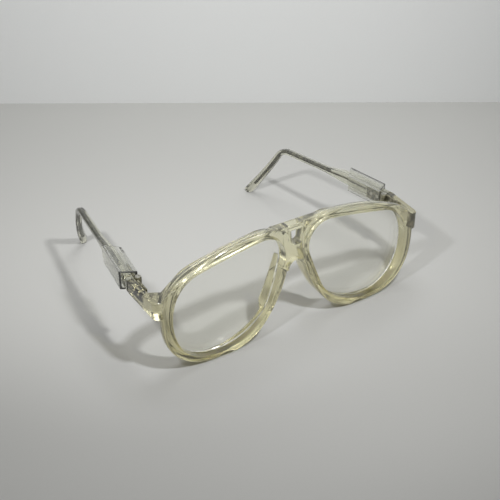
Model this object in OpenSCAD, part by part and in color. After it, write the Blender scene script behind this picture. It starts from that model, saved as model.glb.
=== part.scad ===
// Aviator eyeglasses: a one-piece clear plastic front, two lenses, and two folding temples, each
// with a clear slip-on sleeve. X runs from the wearer's right to left, Y from front to back, Z up.
// The glasses stand on the two rims and the two temple tips, on the plane z = 0.

/* [Lens openings] */
// Width of each lens opening
lens_w = 58; // [55:0.5:61]
// Height of each lens opening
lens_h = 50; // [47:0.5:53]
// Gap between the two lens openings at the nose
nose_gap = 13; // [11:0.5:17]
// Lower outer corner of the opening: inset from the side, inset from the bottom, radius
open_low_out = [19.9, 18.9, 18.8]; // [5:0.1:40]
// Upper outer corner of the opening
open_top_out = [17.3, 21.8, 16.6]; // [5:0.1:40]
// Upper nasal corner of the opening
open_top_in = [11.1, 11.1, 11.1]; // [5:0.1:40]
// Lower nasal corner of the opening
open_low_in = [26, 24.3, 19.8]; // [5:0.1:40]
// Radii of the arcs between those corners: outer side, brow, nose and foot
open_arcs = [30, 400, 268, 34]; // [25:1:500]

/* [Rims] */
// Width of the rim beside the temple
side_face = 5; // [4:0.1:6]
// Width of the rim at the brow
brow_face = 3.5; // [3:0.1:4.5]
// Width of the rim at its foot
foot_face = 3; // [2.5:0.1:4]
// Width of the rim beside the nose, at the brow
nasal_face = 3.5; // [3:0.1:4]
// Depth of the rims from front to back
rim_depth = 7.5; // [7:0.1:9]
// Width of the small bevel round the front face
front_bevel = 0.7; // [0.3:0.1:1]
// Depth where the back of the rim starts to round off
back_round_from = 3.2; // [2:0.1:4]
// How far the round back edge comes in
back_round = 2.2; // [1:0.1:2.4]
// Lower outer corner of the rim: inset from the side, inset from the bottom, radius
rim_low_out = [24, 24, 23.5]; // [5:0.1:40]
// Upper outer corner of the rim
rim_top_out = [17.8, 25.1, 17.8]; // [5:0.1:40]
// Upper nasal corner of the rim
rim_top_in = [9.2, 9.2, 9]; // [5:0.1:40]
// Lower nasal corner of the rim
rim_low_in = [34.2, 26.1, 26.1]; // [5:0.1:40]
// Radii of the arcs between those corners: outer side, brow, nose and foot
rim_arcs = [49, 103, 62, 125]; // [40:1:500]
// Backward lean of the whole front, in degrees
lean = 1.8; // [0:0.1:4]
// Depth of the flat that each rim stands on, cut off its round foot
foot_flat = 0.15; // [0.1:0.05:0.4]

/* [Bridge] */
// Half the width of the window at the brow bar
window_top_half = 3.4; // [2.5:0.1:4]
// Half the width of the window at its bottom
window_low_half = 2.8; // [2:0.1:3.5]
// Radius of the window's lower corners
window_low_r = 1.6; // [1:0.1:1.8]
// Radius of the window's upper corners
window_top_r = 0.6; // [0.4:0.1:1]
// Height of the window
window_h = 7.5; // [5:0.1:9]
// Height of the lower bridge, from the window down to the arch
bridge_h = 8; // [6:0.1:10]
// Radius of the arch over the nose
arch_r = 4.4; // [3.5:0.1:5.5]
// How far the brow bar's top lies below the top of the rims
bar_below = 0.4; // [0.3:0.1:1]
// How far the bridge's front lies behind the front of the rims
bridge_set_back = 0.3; // [0.2:0.1:1]
// Distance of the bridge's back from the front of the rims
bridge_depth = 6; // [5:0.1:7]

/* [Nose pads] */
// How far each built-up nose pad reaches behind the rim
pad_reach = 4.5; // [2:0.1:7]
// Thickness taken off the pad's back edge on each side
pad_taper = 0.7; // [0.3:0.1:1.1]
// Height of the pad's lower end
pad_low = 9; // [7:0.5:13]
// Length of the pad from its lower end to its upper end
pad_len = 26; // [20:0.5:30]
// Length over which each end of the pad rises from the rim
pad_ramp = 7; // [4:0.5:9]

/* [Lenses] */
// Thickness of the lens
lens_t = 3; // [2.4:0.1:3.4]
// Radius of the lens's front surface
lens_curve = 130; // [118:1:170]
// Distance of the middle of the lens behind the front face
lens_set_back = 0.6; // [0.2:0.1:1]
// How far the lens's ridge reaches into the groove
ridge_depth = 0.7; // [0.4:0.05:1]
// Thickness of the ridge
ridge_t = 1; // [0.6:0.1:1.4]
// Clearance of the ridge in its groove
ridge_gap = 0.1; // [0.05:0.05:0.2]
// Clearance between the lens's edge and the rim
lens_gap = 0.06; // [0.02:0.02:0.2]

/* [Endpieces] */
// Depth of the front, from its face to the joint with the temple
end_depth = 23.5; // [21:0.5:27]
// How far the endpiece stands out beyond the rim at the front
end_out = 3; // [2:0.1:4]
// How much further out the endpiece is at the joint
end_flare = 2; // [0.5:0.1:3]
// How far the endpiece's front lies behind the front of the rims
end_set_back = 0.3; // [0.2:0.1:1]
// Height of the endpiece at the front
end_front_h = 9.5; // [8.5:0.1:10.5]
// How far the endpiece rises from the front to the joint
end_rise = 3.7; // [2.5:0.1:4.5]
// Radius of the endpiece's front corner
end_corner = 3; // [1:0.1:4]
// Radius of the inner corner between the endpiece and the rim
end_inner = 2; // [1:0.1:2.5]
// How far the web above the endpiece climbs up the rim
end_web = 6; // [3:0.5:7]

/* [Hinges] */
// Radius of the hinge screw's shank
screw_r = 0.7; // [0.5:0.05:0.9]
// Radius of the screw's head
screw_head_r = 1.25; // [1:0.05:1.4]
// Height of the screw's head
screw_head_h = 0.7; // [0.4:0.05:0.9]
// Width of the screw's slot
screw_slot_w = 0.35; // [0.2:0.05:0.5]
// Width of the lock nut across its corners
nut_w = 2.7; // [2.2:0.1:3]
// Height of the lock nut
nut_h = 0.9; // [0.6:0.1:1.2]
// Radius of the knuckles
knuckle_r = 1.5; // [1.3:0.05:1.8]
// Height of each knuckle
knuckle_h = 1.15; // [0.9:0.05:1.2]
// Clearance between neighbouring knuckles
knuckle_gap = 0.06; // [0.04:0.01:0.1]
// Radial clearance of the screw in the knuckles
pin_gap = 0.03; // [0.02:0.01:0.08]
// Radial clearance of the screw in its nut
nut_gap = 0.02; // [0.01:0.01:0.05]
// Thickness of the hinge leaves
leaf_t = 0.9; // [0.6:0.05:1.1]
// Length of the leaf on the front
front_leaf_len = 8.4; // [7:0.1:10]
// Length of the leaf on the temple
temple_leaf_len = 10; // [8:0.1:13]
// Gap between the leaf and the other leaf's knuckles
leaf_clear = 0.15; // [0.1:0.05:0.3]
// Radius of the rivet's shank
rivet_r = 0.6; // [0.4:0.05:0.8]
// Radius of the rivet's sunk head
rivet_head_r = 1; // [0.8:0.05:1.2]
// Height of the rivet's sunk head
rivet_head_h = 0.4; // [0.2:0.05:0.5]
// Depth of the rivet in the plastic
rivet_depth = 2.4; // [1.5:0.1:2.8]
// Distance between the two rivets of a leaf
rivet_step = 4; // [3:0.1:4.4]
// Clearance round the rivets
rivet_gap = 0.02; // [0.01:0.01:0.05]

/* [Temples] */
// Thickness of the wide front end of the temple, from side to side
bar_t = 4; // [3.6:0.1:4.4]
// Height of the wide front end of the temple
bar_h = 6.6; // [6.2:0.1:7.2]
// Height of the temple's top edge at the joint
bar_top = 40.5; // [38:0.5:43]
// Length of the wide front end
wide_len = 30; // [27:1:34]
// Length of the taper behind the wide front end
taper_len = 15; // [12:1:20]
// Radius of the soft turns at both ends of the taper
taper_r = 25; // [15:1:40]
// Thickness of the narrow bar and the ear piece, from side to side
slim_t = 3.4; // [3:0.1:3.6]
// Height of the narrow bar behind the taper
slim_h = 3.2; // [2.8:0.1:4]
// Distance from the joint to the bend over the ear
bend_at = 80.6; // [75:0.2:88]
// How far the middle of the bar drops from the joint to the taper's end
taper_drop = 1.1; // [0:0.1:2]
// How far the middle of the bar drops from the taper's end to the bend
bar_drop = 1.5; // [1:0.1:3]
// Radius of the bend over the ear
bend_r = 11.5; // [8:0.5:14]
// How far the ear piece reaches back from the bend
ear_back = 23.1; // [18:0.5:30]
// Height of the ear piece at its tip
tip_h = 4.2; // [3.6:0.1:5]
// Depth of the flat under each tip
tip_flat = 0.2; // [0.1:0.05:0.4]
// Inward lean of the temple from the joint to the bend, in degrees
toe_in = 7.2; // [5:0.2:9]
// Inward lean of the ear piece from the bar, in degrees
ear_in = 22; // [10:1:28]
// Radius of the inward curve of the ear piece
ear_curve = 46; // [30:1:60]
// How far behind the bend the ear piece's inward curve is centred
ear_turn = 9.8; // [6:0.2:14]
// Gap between the temple and the endpiece when open
joint_gap = 0.1; // [0.06:0.02:0.2]

/* [Core wires] */
// Side of the square wire inside each temple
wire_t = 1; // [0.8:0.1:1.6]
// Distance from the joint to the front end of the wire
wire_from = 14; // [12:0.5:20]
// Distance from the end of the wire to the temple's tip
wire_stop = 6; // [4:0.5:12]
// Clearance round the wire
wire_gap = 0.02; // [0.01:0.01:0.05]

/* [Sleeves] */
// Length of the sleeve's outer side
sleeve_len = 25; // [22:0.5:28]
// How far the outer side's front end lies behind the inner side's
sleeve_front_slant = 3.2; // [0:0.1:4]
// How far the inner side's rear end lies in front of the outer side's
sleeve_rear_slant = 6; // [0:0.1:7]
// Wall of the sleeve
sleeve_wall = 1; // [0.7:0.05:1.4]
// Clearance between the sleeve and the temple's leaf
sleeve_gap = 0.3; // [0.1:0.05:0.5]
// Clearance between the sleeve and the temple's outer face
sleeve_out_gap = 0.5; // [0.3:0.1:0.8]
// Clearance above and below the temple in the sleeve
sleeve_high_gap = 0.45; // [0.2:0.05:0.6]
// Distance from the hinge's axis to the front of the sleeve's inner side
sleeve_from = 2.1; // [1.9:0.1:4]

/* [Hidden] */
SIDES = ["left", "right"];
// Longest steps along the outlines of rims and lenses, in degrees and in length
STEP_ANGLE = 6;
STEP_LENGTH = 5;
// Straight pieces in each rounded corner of the other outlines
ARC_STEPS = 8;
// Longest overlap of a cutter past the faces it cuts
OVER = 1;
// How far the bridge and the endpieces run into the rim before they are cut to its shape
BURIED = 8.5;
// Half of a cube that is larger than the glasses
HUGE = 200;

// Boxes of the lens opening and of the rim, both as [left, right, low, high]
open_box = [nose_gap / 2, nose_gap / 2 + lens_w, foot_face, foot_face + lens_h];
rim_box = [open_box[0] - nasal_face, open_box[1] + side_face, 0, open_box[3] + brow_face];
open_corners = corners(open_box, open_low_out, open_top_out, open_top_in, open_low_in);
rim_corners = corners(rim_box, rim_low_out, rim_top_out, rim_top_in, rim_low_in);
brow_z = rim_box[3];

// The hinge's axis and the faces that meet beside it, before the part is centred
end_front_x = rim_box[1] + end_out;
end_back_x = end_front_x + end_flare;
leaf_face_x = end_back_x - bar_t;
axis_out = knuckle_r + 0.05;
pin_x = leaf_face_x - axis_out;
pin_y = end_depth + joint_gap / 2;
bar_low = bar_top - bar_h;
bar_mid = bar_top - bar_h / 2;
knuckles_h = 5 * knuckle_h + 4 * knuckle_gap;
knuckles_z = bar_mid - knuckles_h / 2;
leaf_h = knuckles_h;
leaf_start = knuckle_r + leaf_clear;
front_leaf_end = pin_y - leaf_start - front_leaf_len;
end_low = bar_low - end_rise;
end_top = end_low + end_front_h;
end_face_y = end_set_back + tan(lean) * (end_low + end_top) / 2;

// The temple's middle line in its own frame, which turns about the hinge's axis: distance back,
// height, half height there, and the radius of the turn there
taper_end = wide_len + taper_len;
slim_z = bar_mid - taper_drop;
bend_z = slim_z - bar_drop;
tip_z = tip_h / 2 - tip_flat;
tip_y = bend_at + ear_back;
bar_start = -2;
temple_path = [[bar_start, bar_mid, bar_h / 2, 0], [wide_len, bar_mid, bar_h / 2, taper_r],
    [taper_end, slim_z, slim_h / 2, taper_r], [bend_at, bend_z, slim_h / 2, bend_r],
    [tip_y, tip_z, tip_h / 2, 0]];
ear_angle = atan2(tip_z - bend_z, ear_back);
wire_end = [tip_y - wire_stop * cos(ear_angle), tip_z - wire_stop * sin(ear_angle)];
wire_path = [[wire_from, bar_mid, wire_t / 2, 0], [wide_len, bar_mid, wire_t / 2, taper_r],
    [taper_end, slim_z, wire_t / 2, taper_r], [bend_at, bend_z, wire_t / 2, bend_r],
    [wire_end[0], wire_end[1], wire_t / 2, 0]];

// The temple seen from above: distance from the hinge's axis, distance back, half thickness, radius
bar_x = axis_out + bar_t / 2;
turn_y = bend_at + ear_turn;
past_tip = tip_y + 2 * tip_h - turn_y;
end_x = bar_x - past_tip * tan(ear_in);
function even_plan(half) = [[bar_x, bar_start - OVER, half, 0], [bar_x, turn_y, half, ear_curve],
    [end_x, turn_y + past_tip, half, 0]];
temple_plan = [[bar_x, bar_start - OVER, bar_t / 2, 0], [bar_x, wide_len, bar_t / 2, 2 * taper_r],
    [bar_x, taper_end, slim_t / 2, 2 * taper_r], [bar_x, turn_y, slim_t / 2, ear_curve],
    [end_x, turn_y + past_tip, slim_t / 2, 0]];

// The whole part is moved so that its box is centred over the origin
temple_reach = tip_y + tip_h / 2;
reach_x = bar_x - (temple_reach - turn_y) * tan(ear_in) + slim_t / 2 / cos(ear_in);
total_depth = pin_y + temple_reach * cos(toe_in) + reach_x * sin(toe_in);
front_y = -total_depth / 2;

// Corner circles of an outline in a box: centre x, centre z and radius, anticlockwise from the foot
function corners(box, low_out, top_out, top_in, low_in) = [
    [box[1] - low_out[0], box[2] + low_out[1], low_out[2]],
    [box[1] - top_out[0], box[3] - top_out[1], top_out[2]],
    [box[0] + top_in[0], box[3] - top_in[1], top_in[2]],
    [box[0] + low_in[0], box[2] + low_in[1], low_in[2]]];

function unit(v) = v / norm(v);
function angle_of(v) = atan2(v[1], v[0]);
function on_circle(c, r, a) = [c[0] + r * cos(a), c[1] + r * sin(a)];
function at_least(a, low) = a < low ? at_least(a + 360, low) : a;

// Centre of the arc of radius big that touches two corner circles from outside
function arc_centre(p, q, big) =
    let (a = big - p[2], b = big - q[2], between = [q[0] - p[0], q[1] - p[1]], d = norm(between),
        along = (a * a - b * b + d * d) / (2 * d), up = sqrt(max(0, a * a - along * along)), u = between / d)
    [p[0] + u[0] * along - u[1] * up, p[1] + u[1] * along + u[0] * up];

// The eight arcs of an outline in order, each [angle where it starts, centre, radius]
function arcs_of(corner, arcs) =
    let (mid = [for (c = corner) [c[0], c[1]]],
        big = [for (i = [0:3]) arc_centre(corner[i], corner[(i + 1) % 4], arcs[i])],
        first = angle_of(mid[0] - big[3]))
    [for (i = [0:3]) each [
        [at_least(angle_of(mid[i] - big[(i + 3) % 4]), first), mid[i], corner[i][2]],
        [at_least(angle_of(mid[i] - big[i]), first), big[i], arcs[i]]]];
// The arc that faces the angle a, and the angle itself in the arcs' own range
function turned(list, a) = let (first = list[0][0]) a - 360 * floor((a - first) / 360);
function facing(list, a) =
    let (t = turned(list, a)) list[max([for (k = [0:7]) list[k][0] <= t ? k : 0])];

function sorted(list) = len(list) <= 1 ? list :
    let (mid = list[floor(len(list) / 2)])
    concat(sorted([for (v = list) if (v < mid) v]), [for (v = list) if (v == mid) v],
        sorted([for (v = list) if (v > mid) v]));

// The directions that every outline is drawn at: each arc is divided so that no step is long
open_list = arcs_of(open_corners, open_arcs);
rim_list = arcs_of(rim_corners, rim_arcs);
breaks = sorted([for (list = [open_list, rim_list]) for (arc = list) turned(rim_list, arc[0])]);
FACING = [for (k = [0:len(breaks) - 1])
    let (from = breaks[k], to = k == len(breaks) - 1 ? breaks[0] + 360 : breaks[k + 1], half = (from + to) / 2,
        r = max(facing(open_list, half)[2], facing(rim_list, half)[2]), span = to - from,
        steps = ceil(max(span / STEP_ANGLE, r * span * PI / 180 / STEP_LENGTH)))
    if (span > 0.1) for (n = [0:steps - 1]) from + span * n / steps];

// Points of a closed outline, grown outwards by grow
function outline(list, grow = 0) =
    [for (a = FACING) let (arc = facing(list, a)) on_circle(arc[1], arc[2] + grow, a)];

// One corner of a polygon, rounded with radius r
function round_corner(before, at, after, r) =
    r <= 0 ? [at] :
    let (u = unit(before - at), v = unit(after - at), half = acos(u * v) / 2, run = r / tan(half),
        mid = at + unit(u + v) * r / sin(half), a0 = angle_of(at + u * run - mid),
        turn = angle_of(at + v * run - mid) - a0,
        sweep = turn > 180 ? turn - 360 : turn < -180 ? turn + 360 : turn)
    [for (s = [0:ARC_STEPS]) on_circle(mid, r, a0 + sweep * s / ARC_STEPS)];

// Polygon whose points are [x, y, radius]
function rounded(pts) =
    let (n = len(pts), flat = [for (p = pts) [p[0], p[1]]])
    [for (i = [0:n - 1]) each round_corner(flat[(i + n - 1) % n], flat[i], flat[(i + 1) % n], pts[i][2])];

// Edge of a band along a path of [x, y, half width, radius], on the side given by 1 or -1
function band_edge(path, side) =
    [for (i = [0:len(path) - 1])
        let (p = [path[i][0], path[i][1]],
            before = i == 0 ? undef : unit(p - [path[i - 1][0], path[i - 1][1]]),
            after = i == len(path) - 1 ? undef : unit([path[i + 1][0], path[i + 1][1]] - p),
            into = is_undef(before) ? after : before, out = is_undef(after) ? before : after,
            mean = unit(into + out), stretch = path[i][2] / (mean * out),
            turn = into[0] * out[1] - into[1] * out[0],
            r = path[i][3] == 0 ? 0 : path[i][3] - side * sign(turn) * path[i][2])
        [p[0] - side * mean[1] * stretch, p[1] + side * mean[0] * stretch, r]];
function reversed(list) = [for (i = [len(list) - 1:-1:0]) list[i]];
function band(path) = rounded(concat(band_edge(path, -1), reversed(band_edge(path, 1))));

// Moves a child from the frame of the front's face to its place in the part
module placed() translate([0, front_y, 0]) children();
// The left side as drawn, or its mirror image for the right side
module on_side(side) mirror([side == "right" ? 1 : 0, 0, 0]) children();
// A flat drawing in x and z, pushed back from y = from to y = to
module pushed(from, to) translate([0, to, 0]) rotate([90, 0, 0]) linear_extrude(to - from) children();
// A flat drawing in y and z, pushed from x = from to x = to
module across(from, to) translate([from, 0, 0]) rotate([90, 0, 90]) linear_extrude(to - from) children();
// The lean of the front about the line where its face meets the ground
module leaned() rotate([-lean, 0, 0]) translate([0, 0, -foot_flat]) children();
// The frame of an open temple: its origin on the hinge's axis, its y along the bar
module temple_frame() translate([pin_x, pin_y, 0]) rotate([0, 0, toe_in]) children();
module above_ground() intersection() {
    children();
    translate([-HUGE, -HUGE, 0]) cube(2 * HUGE);
}

function ease(t) = t <= 0 ? 0 : t >= 1 ? 1 : t * t * (3 - 2 * t);
// How much of the nose pad there is beside a point of the rim's outline, from 0 to 1
function pad_share(p) = p[0] > (rim_box[0] + rim_box[1]) / 2 ? 0 :
    ease((p[1] - pad_low) / pad_ramp) * ease((pad_low + pad_len - p[1]) / pad_ramp);

// One closed line along the rim: rings of the outline grown by grow at the depth y, which become
// pad_grow and pad_y where the nose pad is
function rim_line(list, grow, y, pad_grow, pad_y) =
    let (plain = outline(list, grow), pad = outline(list, pad_grow), outer = outline(rim_list))
    [for (i = [0:len(outer) - 1])
        let (w = pad_share(outer[i]), p = plain[i] * (1 - w) + pad[i] * w)
        [p[0], y * (1 - w) + pad_y * w, p[1]]];

// The rim with its nose pad: seven lines round its section, joined by flat facets
module rim_body() {
    pad_back = rim_depth + pad_reach;
    middle = (back_round_from + rim_depth) / 2;
    lines = [rim_line(open_list, 0, 0, 0, 0),
        rim_line(rim_list, -front_bevel, 0, -front_bevel, 0),
        rim_line(rim_list, 0, front_bevel, 0, front_bevel),
        rim_line(rim_list, 0, back_round_from, 0, back_round_from),
        rim_line(rim_list, -back_round / 3, middle, 0, rim_depth),
        rim_line(rim_list, -back_round, rim_depth, -pad_taper, pad_back),
        rim_line(open_list, 0, rim_depth, pad_taper, pad_back)];
    n = len(lines[0]);
    rings = len(lines);
    polyhedron([for (line = lines) each line], [for (k = [0:rings - 1]) for (i = [0:n - 1])
        let (a = k * n + i, b = (k + 1) % rings * n + i, c = (k + 1) % rings * n + (i + 1) % n,
            d = k * n + (i + 1) % n)
        each [[a, c, b], [a, d, c]]]);
}

module lens_groove() {
    groove_y = ridge_y - ridge_gap;
    pushed(groove_y, groove_y + ridge_t + 2 * ridge_gap)
        polygon(outline(open_list, ridge_depth + ridge_gap));
}

// The space inside the middle of the rim's width, where neither bridge nor endpiece goes
module rim_inside(face) pushed(-OVER, end_depth) polygon(outline(rim_list, -face / 2));

// The ridge sits in the middle of the lens's edge, halfway up the opening
edge_reach = lens_h / 2;
ridge_y = lens_set_back + edge_reach * edge_reach / (2 * lens_curve) + lens_t / 2;

module bridge() {
    window_top = brow_z - brow_face;
    window_low = window_top - window_h;
    arch_z = window_low - bridge_h - arch_r;
    bar_z = brow_z - bar_below;
    edge = (bar_z - window_top) / 5;
    reach = rim_box[0] + BURIED;
    low_reach = rim_box[0] + nasal_face / 2;
    difference() {
        union() {
            across(-reach, reach) polygon(rounded([[bridge_set_back, window_top, edge],
                [bridge_depth, window_top, 1.5 * edge], [bridge_depth, bar_z, 3 * edge],
                [bridge_set_back, bar_z, edge]]));
            pushed(bridge_set_back, bridge_depth) polygon([[-low_reach - 3, arch_z], [low_reach + 3, arch_z],
                [low_reach, window_top - OVER], [-low_reach, window_top - OVER]]);
        }
        translate([0, -OVER, arch_z]) rotate([-90, 0, 0]) cylinder(h = bridge_depth + 2 * OVER, r = arch_r, $fn = 48);
        pushed(-OVER, bridge_depth + OVER) polygon(rounded([[-window_low_half, window_low, window_low_r],
            [window_low_half, window_low, window_low_r], [window_top_half, window_top, window_top_r],
            [-window_top_half, window_top, window_top_r]]));
        for (side = SIDES) on_side(side) rim_inside(nasal_face);
    }
}

module endpiece() {
    front_x = rim_box[1] - BURIED;
    difference() {
        union() {
            intersection() {
                linear_extrude(brow_z) polygon(rounded([[front_x, end_face_y, 0],
                    [end_front_x, end_face_y, end_corner], [end_back_x, end_depth, 0],
                    [leaf_face_x, end_depth, 0], [leaf_face_x, front_leaf_end - end_inner, end_inner],
                    [front_x, rim_depth - 1, 0]]));
                across(front_x - OVER, end_back_x + OVER) polygon([[-OVER, end_low],
                    [end_depth, bar_low], [end_depth, bar_top], [-OVER, end_top]]);
            }
            // The web between the endpiece and the rim above it
            leaned() pushed(end_set_back, (back_round_from + rim_depth) / 2) polygon([[front_x, end_top - OVER],
                [end_front_x - end_corner, end_top - OVER], [end_front_x - end_corner, end_top],
                [front_x + OVER, end_top + end_web]]);
        }
        leaned() rim_inside(side_face);
    }
}

// Where a leaf's two rivets stand, as distances along the leaf from its end nearer the knuckles
function rivet_at(length, number) = (length - rivet_step) / 2 + (number - 1) * rivet_step;

// One rivet along x: its sunk head starts at x = 0 and its shank goes to greater x
module rivet(grow = 0) {
    rotate([0, 90, 0]) cylinder(h = rivet_head_h, r = rivet_head_r + grow, $fn = 32);
    rotate([0, 90, 0]) cylinder(h = leaf_t + rivet_depth + grow, r = rivet_r + grow, $fn = 32);
}

// Positions of one rivet in the front's frame and in the temple's frame
module at_front_rivet(number)
    translate([leaf_face_x - leaf_t, pin_y - leaf_start - rivet_at(front_leaf_len, number), bar_mid]) children();
module at_temple_rivet(number)
    translate([axis_out - leaf_t, leaf_start + rivet_at(temple_leaf_len, number), bar_mid]) children();

module front_frame() color([0.86, 0.85, 0.66, 0.6]) placed() difference() {
    union() {
        above_ground() leaned() {
            for (side = SIDES) on_side(side) rim_body();
            bridge();
        }
        for (side = SIDES) on_side(side) endpiece();
    }
    leaned() for (side = SIDES) on_side(side) lens_groove();
    for (side = SIDES) on_side(side) for (number = [1, 2]) at_front_rivet(number) rivet(rivet_gap);
}

module lens(side) color([0.93, 0.93, 0.9, 0.35]) placed() leaned() on_side(side) {
    middle = [(open_box[0] + open_box[1]) / 2, lens_set_back + lens_curve, (open_box[2] + open_box[3]) / 2];
    intersection() {
        pushed(0, rim_depth + lens_t) polygon(outline(open_list, -lens_gap));
        translate(middle) difference() {
            sphere(r = lens_curve, $fn = 96);
            sphere(r = lens_curve - lens_t, $fn = 96);
        }
    }
    difference() {
        pushed(ridge_y, ridge_y + ridge_t) polygon(outline(open_list, ridge_depth));
        pushed(-OVER, rim_depth + OVER) polygon(outline(open_list, -lens_gap - OVER));
    }
}

// Knuckle number 0 to 4, counted upwards, about the z axis, with its web to a leaf at x = face
module knuckle(number, web_to) {
    low = knuckles_z + number * (knuckle_h + knuckle_gap);
    difference() {
        union() {
            translate([0, 0, low]) cylinder(h = knuckle_h, r = knuckle_r, $fn = 48);
            translate([axis_out - leaf_t, min(0, web_to), low]) cube([leaf_t, abs(web_to), knuckle_h]);
        }
        translate([0, 0, low - OVER]) cylinder(h = knuckle_h + 2 * OVER, r = screw_r + pin_gap, $fn = 32);
    }
}

// Leaf of the front: a plate on the endpiece with the second and fourth knuckles
module front_leaf(side) color([0.36, 0.34, 0.24]) placed() on_side(side) {
    difference() {
        translate([leaf_face_x - leaf_t, front_leaf_end, knuckles_z])
            cube([leaf_t, front_leaf_len, leaf_h]);
        for (number = [1, 2]) at_front_rivet(number) rivet(rivet_gap);
    }
    translate([pin_x, pin_y, 0]) for (number = [1, 3]) knuckle(number, -leaf_start - 0.5);
}

// Leaf of the temple: a plate on the bar with the first, third and fifth knuckles
module temple_leaf(side) color([0.36, 0.34, 0.24]) placed() on_side(side) temple_frame() {
    difference() {
        translate([axis_out - leaf_t, leaf_start, knuckles_z]) cube([leaf_t, temple_leaf_len, leaf_h]);
        for (number = [1, 2]) at_temple_rivet(number) rivet(rivet_gap);
    }
    for (number = [0, 2, 4]) knuckle(number, leaf_start + 0.5);
}

module front_rivets(side) color([0.6, 0.58, 0.5]) placed() on_side(side)
    for (number = [1, 2]) at_front_rivet(number) rivet();

module temple_rivets(side) color([0.6, 0.58, 0.5]) placed() on_side(side) temple_frame()
    for (number = [1, 2]) at_temple_rivet(number) rivet();

module hinge_screw(side) color([0.55, 0.54, 0.5]) placed() on_side(side) translate([pin_x, pin_y, knuckles_z]) {
    translate([0, 0, -nut_h]) cylinder(h = knuckles_h + nut_h, r = screw_r, $fn = 32);
    translate([0, 0, knuckles_h]) difference() {
        cylinder(h = screw_head_h, r = screw_head_r, $fn = 48);
        translate([-screw_head_r - OVER, -screw_slot_w / 2, screw_head_h / 2])
            cube([2 * (screw_head_r + OVER), screw_slot_w, screw_head_h]);
    }
}

// The hexagonal lock nut under the lowest knuckle
module hinge_nut(side) color([0.5, 0.49, 0.44]) placed() on_side(side)
    translate([pin_x, pin_y, knuckles_z - nut_h]) difference() {
        cylinder(h = nut_h, r = nut_w / 2, $fn = 6);
        translate([0, 0, -OVER]) cylinder(h = nut_h + 2 * OVER, r = screw_r + nut_gap, $fn = 32);
    }

// A band that follows the temple, seen from the side and from above
module along_temple(side_path, plan_path) intersection() {
    across(-HUGE / 4, HUGE / 4) polygon(band(side_path));
    linear_extrude(HUGE) polygon(band(plan_path));
}

module temple(side) color([0.84, 0.85, 0.8, 0.6]) placed() on_side(side) above_ground() difference() {
    temple_frame() {
        difference() {
            union() {
                along_temple(temple_path, temple_plan);
                // The round tip
                intersection() {
                    across(-HUGE / 4, HUGE / 4) translate([tip_y, tip_z]) circle(r = tip_h / 2, $fn = 48);
                    linear_extrude(HUGE) polygon(band(even_plan(slim_t / 2)));
                }
            }
            along_temple([for (p = wire_path) [p[0], p[1], p[2] + wire_gap, p[3]]],
                even_plan(wire_t / 2 + wire_gap));
            for (number = [1, 2]) at_temple_rivet(number) rivet(rivet_gap);
        }
    }
    // The face that meets the endpiece
    translate([0, end_depth + joint_gap - HUGE, 0]) cube([HUGE, HUGE, HUGE]);
}

module core_wire(side) color([0.45, 0.44, 0.36]) placed() on_side(side) temple_frame()
    along_temple(wire_path, even_plan(wire_t / 2));

// A tube whose ends are cut slanting, seen from above
module sleeve(side) color([0.8, 0.82, 0.8, 0.5]) placed() on_side(side) temple_frame() {
    hole_x = [axis_out - leaf_t - sleeve_gap, axis_out + bar_t + sleeve_out_gap];
    hole_z = [bar_low - sleeve_high_gap, bar_top + sleeve_high_gap];
    inner = hole_x[0] - sleeve_wall;
    outer = hole_x[1] + sleeve_wall;
    outer_from = sleeve_from + sleeve_front_slant;
    difference() {
        translate([0, 0, hole_z[0] - sleeve_wall]) linear_extrude(hole_z[1] - hole_z[0] + 2 * sleeve_wall)
            polygon([[inner, sleeve_from], [outer, outer_from], [outer, outer_from + sleeve_len],
                [inner, outer_from + sleeve_len - sleeve_rear_slant]]);
        translate([hole_x[0], 0, hole_z[0]])
            cube([hole_x[1] - hole_x[0], outer_from + sleeve_len + OVER, hole_z[1] - hole_z[0]]);
    }
}

front_frame();
for (side = SIDES) {
    lens(side);
    front_leaf(side);
    front_rivets(side);
    temple(side);
    core_wire(side);
    temple_leaf(side);
    temple_rivets(side);
    hinge_screw(side);
    hinge_nut(side);
    sleeve(side);
}
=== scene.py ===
import math

import bmesh
import bpy
from mathutils import Matrix, Vector


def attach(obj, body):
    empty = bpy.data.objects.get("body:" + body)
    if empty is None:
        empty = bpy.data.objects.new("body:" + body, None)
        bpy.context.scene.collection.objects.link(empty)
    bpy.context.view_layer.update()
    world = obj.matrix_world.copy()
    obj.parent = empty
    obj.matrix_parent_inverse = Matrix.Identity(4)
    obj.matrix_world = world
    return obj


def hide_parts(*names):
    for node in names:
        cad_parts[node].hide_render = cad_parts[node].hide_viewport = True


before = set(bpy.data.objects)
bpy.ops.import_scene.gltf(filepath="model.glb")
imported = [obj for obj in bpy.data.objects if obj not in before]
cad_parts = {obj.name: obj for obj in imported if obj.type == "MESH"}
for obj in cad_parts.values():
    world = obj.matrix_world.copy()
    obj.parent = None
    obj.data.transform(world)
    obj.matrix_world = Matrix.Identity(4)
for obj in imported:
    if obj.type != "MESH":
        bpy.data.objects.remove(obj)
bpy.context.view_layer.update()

# Sizes are millimetres until a piece is finished, and angles are degrees
MM = 0.001

# The frame's own sizes, which the finished pieces repeat
LENS_W, LENS_H, NOSE_GAP = 58, 50, 13
SIDE_FACE, BROW_FACE, FOOT_FACE, NASAL_FACE = 5, 3.5, 3, 3.5
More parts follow.
